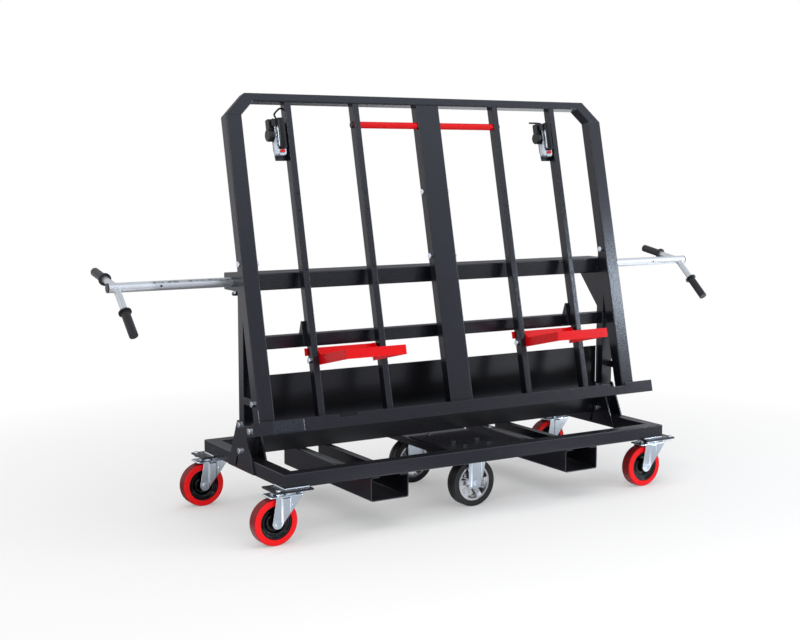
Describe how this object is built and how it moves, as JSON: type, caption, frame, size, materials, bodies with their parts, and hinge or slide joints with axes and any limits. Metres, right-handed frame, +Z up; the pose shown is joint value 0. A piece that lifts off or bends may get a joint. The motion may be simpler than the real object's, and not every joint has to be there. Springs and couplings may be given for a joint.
{
  "type": "panel trolley",
  "caption": "Steel board trolley with a leaning slatted rack, load tray, folding shelves, strap ratchets, pull-out handles, fork pockets, swivel casters and fixed centre wheels.",
  "frame": {"origin": "floor level under the middle of the base; the bounding box has its middle 14 mm to the right, because the right handle is pulled out further", "axes": "+X along the trolley to the right seen from the loading side, +Y from the loading side to the back, +Z up"},
  "size_m": [2.592, 0.718, 1.5113],
  "materials": {
    "frame_paint": "satin powder coat",
    "panel_paint": "satin",
    "red_paint": "gloss powder coat",
    "zinc": "bright zinc plate",
    "galvanised": "galvanised",
    "tread": "satin polyurethane",
    "hub": "gloss",
    "tyre": "matt rubber",
    "rim": "as cast",
    "grip": "satin",
    "trim": "moulded",
    "button": "moulded"
  },
  "bodies": {
    "frame": {"base_front_rail": "frame_paint", "base_rear_rail": "frame_paint", "base_side_rails": "frame_paint", "caster_pads": "frame_paint", "centre_bridge": "frame_paint", "fork_pocket_left": "frame_paint", "fork_pocket_right": "frame_paint", "foot_plates": "frame_paint", "end_posts": "frame_paint", "upper_cross_bar": "frame_paint", "lower_cross_bar": "frame_paint", "frame_brackets": "frame_paint", "rack_uprights": "frame_paint", "rack_top_rail": "frame_paint", "rack_slats": "frame_paint", "rack_centre_post": "frame_paint", "load_tray": "frame_paint", "kick_panel": "panel_paint", "grab_bar": "red_paint", "frame_bolts": "zinc", "caster_bolts": "zinc", "caster_plates": "zinc", "centre_brackets": "zinc", "centre_axles": "zinc", "ratchet_frames": "zinc", "handle_sleeves": "galvanised", "grab_bar_plugs": "trim", "ratchet_casings": "trim"},
    "caster_front_left": {"caster_fork_front_left": "zinc", "caster_axle_front_left": "zinc"},
    "wheel_front_left": {"caster_hub_front_left": "hub", "caster_tread_front_left": "tread"},
    "caster_front_right": {"caster_fork_front_right": "zinc", "caster_axle_front_right": "zinc"},
    "wheel_front_right": {"caster_hub_front_right": "hub", "caster_tread_front_right": "tread"},
    "caster_rear_left": {"caster_fork_rear_left": "zinc", "caster_axle_rear_left": "zinc"},
    "wheel_rear_left": {"caster_hub_rear_left": "hub", "caster_tread_rear_left": "tread"},
    "caster_rear_right": {"caster_fork_rear_right": "zinc", "caster_axle_rear_right": "zinc"},
    "wheel_rear_right": {"caster_hub_rear_right": "hub", "caster_tread_rear_right": "tread"},
    "centre_wheel_front": {"centre_rim_front": "rim", "centre_tyre_front": "tyre"},
    "centre_wheel_rear": {"centre_rim_rear": "rim", "centre_tyre_rear": "tyre"},
    "left_handle": {"handle_left": "galvanised", "handle_grips_left": "grip"},
    "left_lock_screw": {"lock_screw_left": "zinc"},
    "right_handle": {"handle_right": "galvanised", "handle_grips_right": "grip"},
    "right_lock_screw": {"lock_screw_right": "zinc"},
    "left_shelf": {"shelf_left": "red_paint"},
    "right_shelf": {"shelf_right": "red_paint"},
    "left_ratchet_lever": {"ratchet_lever_left": "grip"},
    "left_release_button": {"release_button_left": "button"},
    "right_ratchet_lever": {"ratchet_lever_right": "grip"},
    "right_release_button": {"release_button_right": "button"}
  },
  "joints": [
    {"name": "swivel_front_left", "type": "hinge", "parent": "frame", "child": "caster_front_left", "pos_m": [-0.805, -0.304, 0.171], "axis": [0, 0, 1], "continuous": true},
    {"name": "wheel_spin_front_left", "type": "hinge", "parent": "caster_front_left", "child": "wheel_front_left", "pos_m": [-0.859, -0.304, 0.08], "axis": [0, 1, 0], "continuous": true},
    {"name": "swivel_front_right", "type": "hinge", "parent": "frame", "child": "caster_front_right", "pos_m": [0.805, -0.304, 0.171], "axis": [0, 0, 1], "continuous": true},
    {"name": "wheel_spin_front_right", "type": "hinge", "parent": "caster_front_right", "child": "wheel_front_right", "pos_m": [0.751, -0.304, 0.08], "axis": [0, 1, 0], "continuous": true},
    {"name": "swivel_rear_left", "type": "hinge", "parent": "frame", "child": "caster_rear_left", "pos_m": [-0.805, 0.304, 0.171], "axis": [0, 0, 1], "continuous": true},
    {"name": "wheel_spin_rear_left", "type": "hinge", "parent": "caster_rear_left", "child": "wheel_rear_left", "pos_m": [-0.859, 0.304, 0.08], "axis": [0, 1, 0], "continuous": true},
    {"name": "swivel_rear_right", "type": "hinge", "parent": "frame", "child": "caster_rear_right", "pos_m": [0.805, 0.304, 0.171], "axis": [0, 0, 1], "continuous": true},
    {"name": "wheel_spin_rear_right", "type": "hinge", "parent": "caster_rear_right", "child": "wheel_rear_right", "pos_m": [0.751, 0.304, 0.08], "axis": [0, 1, 0], "continuous": true},
    {"name": "centre_spin_front", "type": "hinge", "parent": "frame", "child": "centre_wheel_front", "pos_m": [0, -0.212, 0.09], "axis": [0, 1, 0], "continuous": true},
    {"name": "centre_spin_rear", "type": "hinge", "parent": "frame", "child": "centre_wheel_rear", "pos_m": [0, 0.212, 0.09], "axis": [0, 1, 0], "continuous": true},
    {"name": "handle_slide_left", "type": "slide", "parent": "frame", "child": "left_handle", "axis": [1, 0, 0], "range_m": [0, 0.365]},
    {"name": "lock_turn_left", "type": "hinge", "parent": "frame", "child": "left_lock_screw", "pos_m": [-0.813, 0.08, 0.815], "axis": [0, 0, -1], "range_deg": [0, 360]},
    {"name": "handle_slide_right", "type": "slide", "parent": "frame", "child": "right_handle", "axis": [-1, 0, 0], "range_m": [0, 0.393]},
    {"name": "lock_turn_right", "type": "hinge", "parent": "frame", "child": "right_lock_screw", "pos_m": [0.813, 0.08, 0.815], "axis": [0, 0, -1], "range_deg": [0, 360]},
    {"name": "shelf_fold_left", "type": "hinge", "parent": "frame", "child": "left_shelf", "pos_m": [-0.45925, -0.08895, 0.57515], "axis": [-1, 0, 0], "range_deg": [0, 90]},
    {"name": "shelf_fold_right", "type": "hinge", "parent": "frame", "child": "right_shelf", "pos_m": [0.44575, -0.08895, 0.57515], "axis": [-1, 0, 0], "range_deg": [0, 90]},
    {"name": "lever_swing_left", "type": "hinge", "parent": "frame", "child": "left_ratchet_lever", "pos_m": [-0.637, 0.08254, 1.40688], "axis": [-1, 0, 0], "range_deg": [0, 100]},
    {"name": "button_press_left", "type": "slide", "parent": "frame", "child": "left_release_button", "axis": [0, 0.9744, -0.225], "range_m": [0, 0.003], "stiffness_N_per_m": 800},
    {"name": "lever_swing_right", "type": "hinge", "parent": "frame", "child": "right_ratchet_lever", "pos_m": [0.547, 0.08254, 1.40688], "axis": [-1, 0, 0], "range_deg": [0, 100]},
    {"name": "button_press_right", "type": "slide", "parent": "frame", "child": "right_release_button", "axis": [0, 0.9744, -0.225], "range_m": [0, 0.003], "stiffness_N_per_m": 800}
  ]
}
